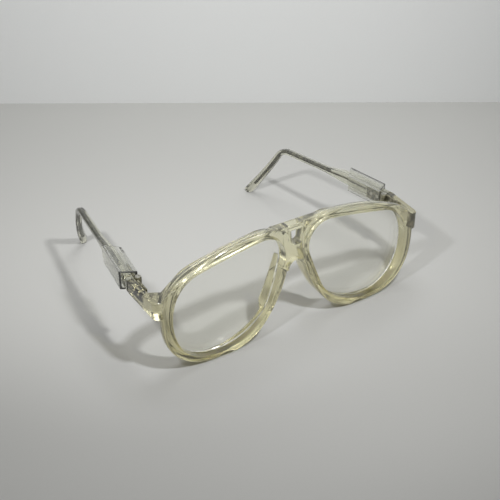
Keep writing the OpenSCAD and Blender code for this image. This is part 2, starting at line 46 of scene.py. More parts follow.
# Circles in the corners of an outline, from low outside over the top to low inside: how far in from
# the side of its box, how far from its bottom or top, and the radius. Then the arcs between them
OPENING_CORNERS = (19.9, 18.9, 18.8), (17.3, 21.8, 16.6), (11.1, 11.1, 11.1), (26, 24.3, 19.8)
OPENING_ARCS = 30, 400, 268, 34
RIM_CORNERS = (24, 24, 23.5), (17.8, 25.1, 17.8), (9.2, 9.2, 9), (34.2, 26.1, 26.1)
RIM_ARCS = 49, 103, 62, 125
RIM_DEPTH, BACK_FROM, BACK_ROUND = 7.5, 3.2, 2.2
LEAN, FOOT_FLAT = 1.8, 0.15
PAD_REACH, PAD_TAPER, PAD_LOW, PAD_LEN, PAD_RAMP = 4.5, 0.7, 9, 26, 7
WINDOW_TOP_HALF, WINDOW_LOW_HALF, WINDOW_H = 3.4, 2.8, 7.5
BRIDGE_H, ARCH_R, BAR_BELOW, BRIDGE_BACK, BRIDGE_DEPTH = 8, 4.4, 0.4, 0.3, 6
LENS_T, LENS_CURVE, LENS_BACK = 3, 130, 0.6
RIDGE_DEPTH, RIDGE_T, RIDGE_GAP, LENS_GAP = 0.7, 1, 0.1, 0.06
END_DEPTH, END_OUT, END_FLARE, END_BACK = 23.5, 3, 2, 0.3
END_FRONT_H, END_RISE, END_CORNER, END_INNER, END_WEB = 9.5, 3.7, 3, 2, 6
BAR_T, BAR_H, BAR_TOP, WIDE_LEN, TAPER_LEN, TAPER_R = 4, 6.6, 40.5, 30, 15, 25
SLIM_T, SLIM_H, TAPER_DROP, BAR_DROP = 3.4, 3.2, 1.1, 1.5
BEND_AT, BEND_R, EAR_BACK, TIP_H, TIP_FLAT = 80.6, 11.5, 23.1, 4.2, 0.2
TOE_IN, EAR_IN, EAR_CURVE, EAR_TURN, JOINT_GAP = 7.2, 22, 46, 9.8, 0.1
WIRE_T, WIRE_FROM, WIRE_STOP = 1, 14, 6
SLEEVE_LEN, SLEEVE_FROM, SLEEVE_WALL = 25, 2.1, 1
SLEEVE_FRONT_SLANT, SLEEVE_REAR_SLANT = 3.2, 6
SLEEVE_GAP, SLEEVE_OUT_GAP, SLEEVE_HIGH_GAP = 0.3, 0.5, 0.45
LEAF_T, LEAF_LEN, KNUCKLE_R, KNUCKLE_GAP, AXIS_GAP = 0.9, 8.4, 1.5, 0.15, 0.05
FRONT_Y = -64.2053

# Width that the rim's section is drawn at, before it is fitted between the two outlines
SECTION_W = 4
# What the finished pieces add: rounded edges, and how deep a part of a moulding goes into the next
FRONT_INNER_EDGE, FRONT_OUTER_EDGE, SHOULDER, FLANK = 0.35, 1.3, 6, 5
BACK_INNER_EDGE, BACK_OUTER_EDGE, PAD_INNER_EDGE, PAD_OUTER_EDGE = 0.5, 0.9, 0.8, 1.1
GROOVE_SLANT, GROOVE_EDGE = 0.25, 0.12
RIDGE_FOOT, RIDGE_SLANT = 0.05, 0.2
PLATE_IN_RIM, PLATE_IN_BAR, PLATE_EDGE = 3, 0.5, 0.9
WINDOW_LOW_EDGE, WINDOW_TOP_EDGE = 1.6, 0.6
INTO_RIM, INTO_BACK, WEB_IN_END, WEB_RUN = 8.5, 1, 1, 1
END_EDGE, WEB_EDGE = 0.8, 0.5
TEMPLE_EDGE, TIP_EDGE, TIP_THINNED, TIP_STEPS, TIP_STEP = 1.1, 1.0, 0.45, 9, 9.6
TEMPLE_AHEAD, TEMPLE_FRONT_STEP, TEMPLE_KEPT_FROM = 2, 0.45, 0.9
TEMPLE_FRONT_NARROWER, TEMPLE_FRONT_LOWER = 0.036, 0.018
WIRE_EDGE, SLEEVE_EDGE = 0.35, 0.35
# How far a cutter stands past what it cuts, and a half of the front past its middle
CUT_PAST, HALF_PAST = 1, 4

# How finely outlines and round things are divided, and which points count as one
FACING_STEP, EDGE_STEP, SHORTEST_ARC = 2.5, 1.3, 0.1
LENS_SHARES = (0.02, 0.15, 0.3, 0.45, 0.6, 0.75, 0.88, 0.97, 0.994)
ARCH_SIDES = 64
SAME_POINT, SAME_FRAME_POINT, SAME_MIRRORED_POINT = 0.0005, 0.001, 0.002
# In radians, half of a corner that is as good as straight; then shares of its radius and its sides
STRAIGHT, STRAIGHT_RUN, MOST_OF_SIDE = 1.5706, 0.02, 0.48

OPEN_BOX = (NOSE_GAP / 2, NOSE_GAP / 2 + LENS_W, FOOT_FACE, FOOT_FACE + LENS_H)
RIM_BOX = (OPEN_BOX[0] - NASAL_FACE, OPEN_BOX[1] + SIDE_FACE, 0, OPEN_BOX[3] + BROW_FACE)
BROW_Z = RIM_BOX[3]
RIDGE_Y = LENS_BACK + (LENS_H / 2) ** 2 / (2 * LENS_CURVE) + LENS_T / 2
END_FRONT_X = RIM_BOX[1] + END_OUT
END_BACK_X = END_FRONT_X + END_FLARE
LEAF_FACE_X = END_BACK_X - BAR_T
AXIS_OUT = KNUCKLE_R + AXIS_GAP
PIN = (LEAF_FACE_X - AXIS_OUT, END_DEPTH + JOINT_GAP / 2)
BAR_LOW, BAR_MID = BAR_TOP - BAR_H, BAR_TOP - BAR_H / 2
LEAF_END = PIN[1] - KNUCKLE_R - KNUCKLE_GAP - LEAF_LEN
END_LOW = BAR_LOW - END_RISE
END_TOP = END_LOW + END_FRONT_H
TAPER_END = WIDE_LEN + TAPER_LEN
SLIM_Z = BAR_MID - TAPER_DROP
BEND_Z = SLIM_Z - BAR_DROP
TIP = (BEND_AT + EAR_BACK, TIP_H / 2 - TIP_FLAT)
BAR_X = AXIS_OUT + BAR_T / 2
TURN_Y = BEND_AT + EAR_TURN

PLACED = Matrix.Translation((0, FRONT_Y, 0))
LEANED = (Matrix.Rotation(math.radians(-LEAN), 4, "X")
          @ Matrix.Translation((0, 0, -FOOT_FLAT)))
OPEN_TEMPLE = (Matrix.Translation((PIN[0], PIN[1], 0))
               @ Matrix.Rotation(math.radians(TOE_IN), 4, "Z"))


# ---------- outlines of rims and lenses: eight arcs, each touching its neighbours ----------

def corner_circles(box, low_out, top_out, top_in, low_in):
    return [(box[1] - low_out[0], box[2] + low_out[1], low_out[2]),
            (box[1] - top_out[0], box[3] - top_out[1], top_out[2]),
            (box[0] + top_in[0], box[3] - top_in[1], top_in[2]),
            (box[0] + low_in[0], box[2] + low_in[1], low_in[2])]


def arc_centre(p, q, big):
    """The middle of an arc of radius big that goes round the circles p and q and touches both."""
    a, b = big - p[2], big - q[2]
    d = math.hypot(q[0] - p[0], q[1] - p[1])
    u, v = (q[0] - p[0]) / d, (q[1] - p[1]) / d
    along = (a * a - b * b + d * d) / (2 * d)
    up = math.sqrt(max(0, a * a - along * along))
    return p[0] + u * along - v * up, p[1] + v * along + u * up


def arcs_of(corners, arcs):
    """Every arc of an outline in turn: the direction that it starts at, its middle, its radius."""
    big = [arc_centre(corners[i], corners[(i + 1) % 4], arcs[i]) for i in range(4)]

    def heading(p, q):
        return math.degrees(math.atan2(p[1] - q[1], p[0] - q[0]))

    first = heading(corners[0], big[3])
    found = []
    for i, c in enumerate(corners):
        found.append((first + (heading(c, big[i - 1]) - first) % 360, c, c[2]))
        found.append((first + (heading(c, big[i]) - first) % 360, big[i], arcs[i]))
    return found


def facing(arcs, a):
    """The arc of an outline that faces in direction a."""
    around = arcs[0][0] + (a - arcs[0][0]) % 360
    return [arc for arc in arcs if arc[0] <= around + 1e-9][-1]


OPENING = arcs_of(corner_circles(OPEN_BOX, *OPENING_CORNERS), OPENING_ARCS)
RIM = arcs_of(corner_circles(RIM_BOX, *RIM_CORNERS), RIM_ARCS)


def directions():
    """The directions of an outline's points, close enough together for both outlines."""
    first = RIM[0][0]
    breaks = sorted(first + (arc[0] - first) % 360 for arc in OPENING + RIM)
    found = []
    for low, high in zip(breaks, breaks[1:] + [breaks[0] + 360]):
        span, half = high - low, (low + high) / 2
        if span < SHORTEST_ARC:
            continue
        r = max(facing(OPENING, half)[2], facing(RIM, half)[2])
        steps = math.ceil(max(span / FACING_STEP, math.radians(span) * r / EDGE_STEP))
        found += [low + span * n / steps for n in range(steps)]
    return found


FACING = directions()


def at_facing(arcs, a, grow=0.0):
    """The point of an outline that faces in direction a, with the outline grown by so much."""
    _, middle, radius = facing(arcs, a)
    r = radius + grow
    return (middle[0] + r * math.cos(math.radians(a)), middle[1] + r * math.sin(math.radians(a)))


def outline(arcs, grow=0.0):
    return [Vector(at_facing(arcs, a, grow)) for a in FACING]


def rounded(corners, steps=4, closed=True):
    """Points of an outline of (a, b, radius), with the same number of points in every corner."""
    flat, out = [Vector(c[:2]) for c in corners], []
    for i, c in enumerate(corners):
        at = flat[i]
        if not closed and i in (0, len(corners) - 1):
            out.append(at)
            continue
        u, v = flat[i - 1] - at, flat[(i + 1) % len(flat)] - at
        limit = MOST_OF_SIDE * min(u.length, v.length)
        u.normalize()
        v.normalize()
        half = math.acos(max(-1, min(1, u.dot(v)))) / 2
        if half > STRAIGHT:
            run = min(c[2] * STRAIGHT_RUN, limit)
            out += [at + u * run * (1 - 2 * s / steps) for s in range(steps + 1)]
            continue
        run = min(c[2] / math.tan(half), limit)
        r = run * math.tan(half)
        mid = at + (u + v).normalized() * (r / math.sin(half))
        start, end = at + u * run - mid, at + v * run - mid
        a0 = math.atan2(start.y, start.x)
        turn = (math.atan2(end.y, end.x) - a0 + math.pi) % (2 * math.pi) - math.pi
        for s in range(steps + 1):
            a = a0 + turn * s / steps
            out.append(mid + Vector((r * math.cos(a), r * math.sin(a))))
    return out


def ease(t):
    """From 0 to 1 with a soft start and end."""
    t = max(0, min(1, t))
    return t * t * (3 - 2 * t)


# ---------- workshop: primitives that are extruded, cut, joined and bevelled ----------

def alone(obj):
    bpy.ops.object.select_all(action="DESELECT")
    obj.select_set(True)
    bpy.context.view_layer.objects.active = obj


def edit(obj, work):
    """Opens the piece in edit mode with all of it selected, and does the work there."""
    alone(obj)
    bpy.ops.object.mode_set(mode="EDIT")
    bpy.ops.mesh.select_all(action="SELECT")
    work(obj)
    bpy.ops.object.mode_set(mode="OBJECT")
    return obj


def modified(obj, kind, **settings):
    """Gives the piece a modifier with these settings, and applies it."""
    alone(obj)
    added = obj.modifiers.new(kind.lower(), kind)
    for key, value in settings.items():
        setattr(added, key, value)
    bpy.ops.object.modifier_apply(modifier=added.name)
    return obj


def faced_outwards(obj):
    def work(_):
        bpy.ops.mesh.remove_doubles(threshold=SAME_POINT)
        bpy.ops.mesh.normals_make_consistent(inside=False)
    return edit(obj, work)


def swept(name, rings, capped=False):
    """A ring of points, extruded from station to station: a tube, or a body with capped ends."""
    bpy.ops.object.select_all(action="DESELECT")
    bpy.ops.mesh.primitive_circle_add(vertices=len(rings[0]),
                                      fill_type="NGON" if capped else "NOTHING")
    obj = bpy.context.object
    obj.name = name

    def work(obj):
        bm = bmesh.from_edit_mesh(obj.data)
        place = bm.verts.layers.int.new("place")
        for v in bm.verts:
            v[place] = v.index
        for k, ring in enumerate(rings):
            if k and capped:
                bpy.ops.mesh.extrude_region_move()
            elif k:
                bpy.ops.mesh.extrude_edges_move()
            bm = bmesh.from_edit_mesh(obj.data)
            place = bm.verts.layers.int["place"]
            for v in bm.verts:
                if v.select:
                    v.co = ring[v[place]]
        bmesh.update_edit_mesh(obj.data)
    return faced_outwards(edit(obj, work))


def facing_front(y):
    """Lays a drawing upright from left to right, at depth y."""
    return lambda p: (p.x, y, p.y)


def facing_side(x):
    """Lays a drawing upright from front to back, at x."""
    return lambda p: (x, p.x, p.y)


def facing_up(z):
    """Lays a drawing level, at height z."""
    return lambda p: (p.x, p.y, z)


def prism(name, points, lay, push):
    """A flat drawing, laid in its place, filled and pushed through."""
    start = [Vector(lay(Vector(p))) for p in points]
    return swept(name, [start, [p + Vector(push) for p in start]], capped=True)


def moved(obj, *matrices):
    for matrix in matrices:
        obj.data.transform(matrix)
    return obj


def joined(obj, *others, how="UNION"):
    for other in others:
        modified(obj, "BOOLEAN", operation=how, object=other, solver="EXACT")
        bpy.data.objects.remove(other)
    return obj


def bevelled(obj, width, segments=3, angle=35):
    return modified(obj, "BEVEL", width=width, segments=segments, limit_method="ANGLE",
                    angle_limit=math.radians(angle), miter_outer="MITER_ARC")


def cut_off(obj, normal, fill=True):
    """Takes away what lies behind a plane through the origin."""
    def work(_):
        bpy.ops.mesh.bisect(plane_co=(0, 0, 0), plane_no=normal, clear_inner=True, use_fill=fill)
    return edit(obj, work)


def mirrored(obj):
    """A copy of its own for the other side."""
    copy = obj.copy()
    copy.data = obj.data.copy()
    bpy.context.collection.objects.link(copy)
    copy.data.transform(Matrix.Scale(-1, 4, (1, 0, 0)))
    copy.data.flip_normals()
    return copy


def finished(obj, node, body, finish, smooth):
    """Turns millimetres into metres, gives a piece its finish, and lets it stand for its node."""
    moved(obj, Matrix.Scale(MM, 4))
    alone(obj)
    bpy.ops.object.shade_smooth_by_angle(angle=math.radians(smooth))
    # Keeps wide flats looking flat up to their rounded edges
    modified(obj, "WEIGHTED_NORMAL", keep_sharp=True)
    obj.name = obj.data.name = node + "_piece"
    obj.data.materials.clear()
    obj.data.materials.append(finish)
    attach(obj, body)
    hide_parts(node)


# ---------- front: two rims with their pads, the bridge and the endpieces ----------

def pad_share(p):
    """How much of the nose pad the rim has at a point of its outline, from 0 to 1."""
    if p.x > (RIM_BOX[0] + RIM_BOX[1]) / 2:
        return 0.0
    return ease((p.y - PAD_LOW) / PAD_RAMP) * ease((PAD_LOW + PAD_LEN - p.y) / PAD_RAMP)


def rim_section(pad):
    """The rim's section, from the opening (0) outwards and from front to back, with its groove."""
    def mix(plain, at_pad):
        return tuple(a * (1 - pad) + b * pad for a, b in zip(plain, at_pad))
    groove = RIDGE_Y - RIDGE_GAP
    groove_end = groove + RIDGE_T + 2 * RIDGE_GAP
    deep = RIDGE_DEPTH + RIDGE_GAP
    middle = (BACK_FROM + RIM_DEPTH) / 2
    back = RIM_DEPTH + PAD_REACH
    return rounded([
        (0, 0, FRONT_INNER_EDGE), (SECTION_W, 0, FRONT_OUTER_EDGE),
        (SECTION_W, BACK_FROM, SHOULDER),
        mix((SECTION_W - BACK_ROUND / 3, middle, FLANK), (SECTION_W, RIM_DEPTH, FLANK)),
        mix((SECTION_W - BACK_ROUND, RIM_DEPTH, BACK_OUTER_EDGE),
            (SECTION_W - PAD_TAPER, back, PAD_OUTER_EDGE)),
        mix((0, RIM_DEPTH, BACK_INNER_EDGE), (PAD_TAPER, back, PAD_INNER_EDGE)),
        (0, groove_end, GROOVE_EDGE), (deep, groove_end - GROOVE_SLANT, GROOVE_EDGE),
        (deep, groove + GROOVE_SLANT, GROOVE_EDGE), (0, groove, GROOVE_EDGE)])


def rim():
    """Each point of the section follows the nearer edge, so the rim's width may change."""
    sections = [rim_section(pad_share(p)) for p in outline(RIM)]
    rings = []
    for k in range(len(sections[0])):
        ring = []
        for section, a in zip(sections, FACING):
            out, y = section[k]
            inner = out < SECTION_W / 2
            x, z = at_facing(OPENING, a, out) if inner else at_facing(RIM, a, out - SECTION_W)
            ring.append((x, y, z))
        rings.append(ring)
    return moved(swept("rim", rings + [rings[0]]), LEANED)


def rim_inside(face):
    """The middle of the rim's width and all within it, where neither bridge nor endpiece goes."""
    return moved(prism("rim_inside", outline(RIM, -face / 2), facing_front(-CUT_PAST),
                       (0, END_DEPTH + CUT_PAST, 0)), LEANED)


def bridge():
    top = BROW_Z - BROW_FACE
    low = top - WINDOW_H
    arch = low - BRIDGE_H - ARCH_R
    bar_z = BROW_Z - BAR_BELOW
    # The bar's edges are rounded by one, one and a half or three fifths of its height
    edge = (bar_z - top) / 5
    side = RIM_BOX[0] + NASAL_FACE / 2
    plate_top = top + PLATE_IN_BAR
    window_top = top + WINDOW_TOP_EDGE
    through = (0, BRIDGE_DEPTH + 2 * CUT_PAST, 0)
    bar = prism("brow_bar", rounded([(BRIDGE_BACK, top, edge), (BRIDGE_DEPTH, top, 1.5 * edge),
                                     (BRIDGE_DEPTH, bar_z, 3 * edge), (BRIDGE_BACK, bar_z, edge)],
                                    steps=6),
                facing_side(-HALF_PAST), (HALF_PAST + RIM_BOX[0] + INTO_RIM, 0, 0))
    plate = prism("lower_bridge", ((-HALF_PAST, arch), (side + PLATE_IN_RIM, arch),
                                   (side, plate_top), (-HALF_PAST, plate_top)),
                  facing_front(BRIDGE_BACK), (0, BRIDGE_DEPTH - BRIDGE_BACK, 0))
    window = prism("window", rounded([(-WINDOW_LOW_HALF, low, WINDOW_LOW_EDGE),
                                      (WINDOW_LOW_HALF, low, WINDOW_LOW_EDGE),
                                      (WINDOW_TOP_HALF, window_top, WINDOW_TOP_EDGE),
                                      (-WINDOW_TOP_HALF, window_top, WINDOW_TOP_EDGE)], steps=6),
                   facing_front(-CUT_PAST), through)
    around = (math.tau * n / ARCH_SIDES for n in range(ARCH_SIDES))
    bow = prism("arch", [(ARCH_R * math.cos(a), arch + ARCH_R * math.sin(a)) for a in around],
                facing_front(-CUT_PAST), through)
    plate = bevelled(joined(plate, window, bow, how="DIFFERENCE"), PLATE_EDGE, segments=5)
    return joined(moved(joined(bar, plate), LEANED), rim_inside(NASAL_FACE), how="DIFFERENCE")


def endpiece():
    inner_x = RIM_BOX[1] - INTO_RIM
    web_x = END_FRONT_X - END_CORNER
    face = END_BACK + math.tan(math.radians(LEAN)) * (END_LOW + END_TOP) / 2
    plan = prism("endpiece", rounded([(inner_x, face, 0), (END_FRONT_X, face, END_CORNER),
                                      (END_BACK_X, END_DEPTH, 0), (LEAF_FACE_X, END_DEPTH, 0),
                                      (LEAF_FACE_X, LEAF_END - END_INNER, END_INNER),
                                      (inner_x, RIM_DEPTH - INTO_BACK, 0)], steps=6),
                 facing_up(0), (0, 0, BROW_Z))
    profile = prism("profile", ((-CUT_PAST, END_LOW), (END_DEPTH, BAR_LOW), (END_DEPTH, BAR_TOP),
                                (-CUT_PAST, END_TOP)),
                    facing_side(inner_x - CUT_PAST), (END_BACK_X - inner_x + 2 * CUT_PAST, 0, 0))
    arm = bevelled(joined(plan, profile, how="INTERSECT"), END_EDGE, segments=4)
    web = prism("web", ((inner_x, END_TOP - WEB_IN_END), (web_x, END_TOP - WEB_IN_END),
                        (web_x, END_TOP), (inner_x + WEB_RUN, END_TOP + END_WEB)),
                facing_front(END_BACK), (0, (BACK_FROM + RIM_DEPTH) / 2 - END_BACK, 0))
    web = moved(bevelled(web, WEB_EDGE), LEANED)
    return joined(joined(arm, web), rim_inside(SIDE_FACE), how="DIFFERENCE")


def front():
    half = joined(rim(), bridge(), endpiece())
    cut_off(half, (0, 0, 1))
    cut_off(half, (1, 0, 0), fill=False)
    modified(half, "MIRROR", use_clip=True, merge_threshold=SAME_MIRRORED_POINT)
    return moved(faced_outwards(half), PLACED)


# ---------- lenses ----------

def lens():
    """Rings from the middle of the front surface over the ridge to the middle of the back."""
    mid = Vector(((OPEN_BOX[0] + OPEN_BOX[1]) / 2, (OPEN_BOX[2] + OPEN_BOX[3]) / 2))
    centre_y = LENS_BACK + LENS_CURVE
    edge = outline(OPENING, -LENS_GAP)
    ridge = outline(OPENING, RIDGE_DEPTH)

    def on_sphere(share, radius):
        ring = []
        for p in edge:
            q = mid + (p - mid) * share
            ring.append((q.x, centre_y - math.sqrt(radius ** 2 - (q - mid).length_squared), q.y))
        return ring

    def flat(line, y):
        return [(q.x, y, q.y) for q in line]

    rings = [on_sphere(share, LENS_CURVE) for share in LENS_SHARES]
    rings += [flat(edge, RIDGE_Y - RIDGE_FOOT), flat(ridge, RIDGE_Y + RIDGE_SLANT),
              flat(ridge, RIDGE_Y + RIDGE_T - RIDGE_SLANT),
              flat(edge, RIDGE_Y + RIDGE_T + RIDGE_FOOT)]
    rings += [on_sphere(share, LENS_CURVE - LENS_T) for share in reversed(LENS_SHARES)]
    return moved(swept("lens", rings, capped=True), LEANED, PLACED)


# ---------- temples and the wires in them ----------

def band_edges(path, steps):
    """Lower and upper edge of a band along a path of (a, b, half width, radius)."""
    edges = []
    for side in (-1, 1):
        corners = []
        for i, (a, b, half, r) in enumerate(path):
            p = Vector((a, b))
            into = (p - Vector(path[i - 1][:2])).normalized() if i else None
            out = (Vector(path[i + 1][:2]) - p).normalized() if i < len(path) - 1 else into
            into = into or out
            mean = (into + out).normalized()
            bend = into.x * out.y - into.y * out.x
            reach = half / mean.dot(out)
            corners.append((a - side * mean.y * reach, b + side * mean.x * reach,
                            0 if r == 0 else r - side * math.copysign(half, bend)))
        edges.append(rounded(corners, steps, closed=False))
    return edges


def stations(path, steps=10, longest=1.6):
    """Pairs of points on the lower and the upper edge, close together all along the band."""
    low, high = band_edges(path, steps)
    pairs = [(low[0], high[0])]
    for a, b in zip(zip(low, high), zip(low[1:], high[1:])):
        parts = max(1, math.ceil(max((b[0] - a[0]).length, (b[1] - a[1]).length) / longest))
        pairs += [(a[0].lerp(b[0], n / parts), a[1].lerp(b[1], n / parts))
                  for n in range(1, parts + 1)]
    return pairs


def plan_at(y):
    """Where the temple's middle lies across, seen from above, and its turn there."""
    turn = math.radians(EAR_IN)
    run = EAR_CURVE * math.tan(turn / 2)
    start = TURN_Y - run
    if y <= start:
        return BAR_X, 0.0
    if y <= start + EAR_CURVE * math.sin(turn):
        a = math.asin((y - start) / EAR_CURVE)
        return BAR_X - EAR_CURVE * (1 - math.cos(a)), a
    return BAR_X - (y - TURN_Y) * math.tan(turn), turn


def thickness_at(y):
    share = max(0, min(1, (y - WIDE_LEN) / TAPER_LEN))
    return BAR_T * (1 - share) + SLIM_T * share


def section_at(low, high, half_t, corner, narrow=1.0):
    """A ring round the bar between a point of its lower edge and one of its upper edge."""
    half_t = half_t or thickness_at((low.x + high.x) / 2) / 2
    half_h = (high - low).length / 2
    side = half_t * narrow
    ring = []
    for p in rounded([(-side, -half_h, corner), (side, -half_h, corner),
                      (side, half_h, corner), (-side, half_h, corner)], steps=6):
        at = low.lerp(high, (p.y / half_h + 1) / 2)
        x, turn = plan_at(at.x)
        ring.append(Vector((x + p.x / math.cos(turn), at.x, at.y)))
    return ring


def square_front(rings):
    """Starts the temple in two rings that lie square to the endpiece, the first a bit smaller."""
    cut = END_DEPTH + JOINT_GAP - PIN[1]
    turn = math.radians(TOE_IN)
    rings = [ring for ring in rings if min(v.y for v in ring) > TEMPLE_KEPT_FROM]
    for narrower, lower, y in ((0, 0, TEMPLE_FRONT_STEP),
                               (TEMPLE_FRONT_NARROWER, TEMPLE_FRONT_LOWER, 0)):
        rings.insert(0, [Vector((v.x * (1 - narrower) + BAR_X * narrower,
                                 (cut + y - v.x * math.sin(turn)) / math.cos(turn),
                                 BAR_MID + (v.z - BAR_MID) * (1 - lower))) for v in rings[0]])
    return rings


def temple():
    path = [(-TEMPLE_AHEAD, BAR_MID, BAR_H / 2, 0), (WIDE_LEN, BAR_MID, BAR_H / 2, TAPER_R),
            (TAPER_END, SLIM_Z, SLIM_H / 2, TAPER_R), (BEND_AT, BEND_Z, SLIM_H / 2, BEND_R),
            (*TIP, TIP_H / 2, 0)]
    rings = [section_at(low, high, None, TEMPLE_EDGE) for low, high in stations(path)]
    way = (Vector(TIP) - Vector((BEND_AT, BEND_Z))).normalized()
    across = Vector((-way.y, way.x))
    for n in range(1, TIP_STEPS + 1):
        a = math.radians(TIP_STEP * n)
        at = Vector(TIP) + way * (TIP_H / 2 * math.sin(a))
        reach = across * (TIP_H / 2 * math.cos(a))
        rings.append(section_at(at - reach, at + reach, SLIM_T / 2, TIP_EDGE * math.cos(a),
                                narrow=1 - TIP_THINNED + TIP_THINNED * math.cos(a)))
    obj = moved(swept("temple", square_front(rings), capped=True), OPEN_TEMPLE)
    return moved(cut_off(obj, (0, 0, 1)), PLACED)


def core_wire():
    tilt = math.atan2(TIP[1] - BEND_Z, EAR_BACK)
    end = (TIP[0] - WIRE_STOP * math.cos(tilt), TIP[1] - WIRE_STOP * math.sin(tilt))
    half = WIRE_T / 2
    path = [(WIRE_FROM, BAR_MID, half, 0), (WIDE_LEN, BAR_MID, half, TAPER_R),
            (TAPER_END, SLIM_Z, half, TAPER_R), (BEND_AT, BEND_Z, half, BEND_R), (*end, half, 0)]
    rings = [section_at(low, high, half, WIRE_EDGE)
             for low, high in stations(path, steps=8, longest=3)]
    return moved(swept("core_wire", rings, capped=True), OPEN_TEMPLE, PLACED)


# ---------- sleeves ----------

def sleeve():
    """A square tube: back along its outside, round the slanted end, forward along its inside."""
    x0 = AXIS_OUT - LEAF_T - SLEEVE_GAP - SLEEVE_WALL
    x1 = AXIS_OUT + BAR_T + SLEEVE_OUT_GAP + SLEEVE_WALL
    z0 = BAR_LOW - SLEEVE_HIGH_GAP - SLEEVE_WALL
    z1 = BAR_TOP + SLEEVE_HIGH_GAP + SLEEVE_WALL

    def front_end(share):
        return SLEEVE_FROM + SLEEVE_FRONT_SLANT * share

    def rear_end(share):
        return SLEEVE_FROM + (SLEEVE_FRONT_SLANT + SLEEVE_LEN - SLEEVE_REAR_SLANT * (1 - share))

    def ring(wall, end):
        return [(x, end((x - x0) / (x1 - x0)), z)
                for x, z in ((x0 + wall, z0 + wall), (x1 - wall, z0 + wall),
                             (x1 - wall, z1 - wall), (x0 + wall, z1 - wall))]

    rings = [ring(0, front_end), ring(0, rear_end), ring(SLEEVE_WALL, rear_end),
             ring(SLEEVE_WALL, front_end)]
    tube = bevelled(swept("sleeve", rings + [rings[0]]), SLEEVE_EDGE)
    return moved(tube, OPEN_TEMPLE, PLACED)


# ---------- hinges: the frame's own solids, with their edges broken ----------

def refined(node, edge):
    """A merged copy of a node's mesh, in millimetres, with whole flat faces and bevelled edges."""
    copy = bpy.data.objects.new(node + "_copy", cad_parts[node].data.copy())
    bpy.context.collection.objects.link(copy)
    moved(copy, Matrix.Scale(1 / MM, 4))

    def work(_):
        bpy.ops.mesh.remove_doubles(threshold=SAME_FRAME_POINT)
        bpy.ops.mesh.dissolve_limited(angle_limit=math.radians(1))
    return bevelled(edit(copy, work), edge, segments=2, angle=30)


# ---------- finishes ----------

# Sockets of Blender's Mix node that have no name of their own when it mixes colours
MIX_SHARE, MIX_FIRST, MIX_SECOND, MIX_RESULT = 0, 6, 7, 2


class Value:
    """A number on the way through a recipe: sums and products of it add their own nodes."""

    def __init__(self, recipe, socket):
        self.recipe, self.socket = recipe, socket

    def __add__(self, other):
        return self.recipe.sum("ADD", self, other)

    def __mul__(self, other):
        return self.recipe.sum("MULTIPLY", self, other)

    __radd__, __rmul__ = __add__, __mul__


class Recipe:
    """A tree of nodes, with one method for each kind of step that the finishes need."""

    def __init__(self, tree):
        self.tree = tree
        self.tree.nodes.clear()

    def node(self, kind, settings=None, inputs=None, output=0):
        made = self.tree.nodes.new(kind)
        for key, value in (settings or {}).items():
            setattr(made, key, value)
        for key, value in (inputs or {}).items():
            if isinstance(value, Value):
                self.tree.links.new(value.socket, made.inputs[key])
            else:
                made.inputs[key].default_value = value
        return Value(self, made.outputs[output])

    def sum(self, operation, a, b):
        return self.node("ShaderNodeMath", {"operation": operation}, {0: a, 1: b})

    def blend(self, share, a, b):
        return self.node("ShaderNodeMix", {"data_type": "RGBA"},
                         {MIX_SHARE: share, MIX_FIRST: (*a, 1) if isinstance(a, tuple) else a,
                          MIX_SECOND: (*b, 1)}, output=MIX_RESULT)

    def ray(self, kind):
        return self.node("ShaderNodeLightPath", output=kind)

    def shown(self, kind, shader):
        """Ends the recipe in its output node."""
        end = self.tree.nodes.new(kind)
        self.tree.links.new(shader.socket, end.inputs["Surface"])


class Finish(Recipe):
    """One material, with patterns that keep their place on the piece."""

    def __init__(self, name):
        self.material = bpy.data.materials.new(name)
        self.material.use_nodes = True
        super().__init__(self.material.node_tree)
        self.place = self.node("ShaderNodeTexCoord", output="Object")

    def noise(self, scale, detail=2, roughness=0.5, stretch=None):
        at = self.place
        if stretch:
            at = self.node("ShaderNodeMapping", None, {"Vector": at, "Scale": stretch})
        return self.node("ShaderNodeTexNoise", None, {"Vector": at, "Scale": scale,
                                                      "Detail": detail, "Roughness": roughness})

    def between(self, value, low, high, to_low=0.0, to_high=1.0):
        return self.node("ShaderNodeMapRange", None, {
            "Value": value, "From Min": low, "From Max": high, "To Min": to_low, "To Max": to_high})

    def axis(self, name):
        return self.node("ShaderNodeSeparateXYZ", None, {0: self.place}, output=name)

    def bump(self, height, strength, distance):
        return self.node("ShaderNodeBump", None, {"Height": height, "Strength": strength,
                                                  "Distance": distance}, output="Normal")

    def done(self, shader):
        self.shown("ShaderNodeOutputMaterial", shader)
        return self.material


# In metres: the heights between which plastic turns yellower, and where the ends turn darker
FOOT, BROW, ENDS_DARKER_FROM, ENDS_DARKER_TO = 0.0, 0.056, 0.061, 0.069


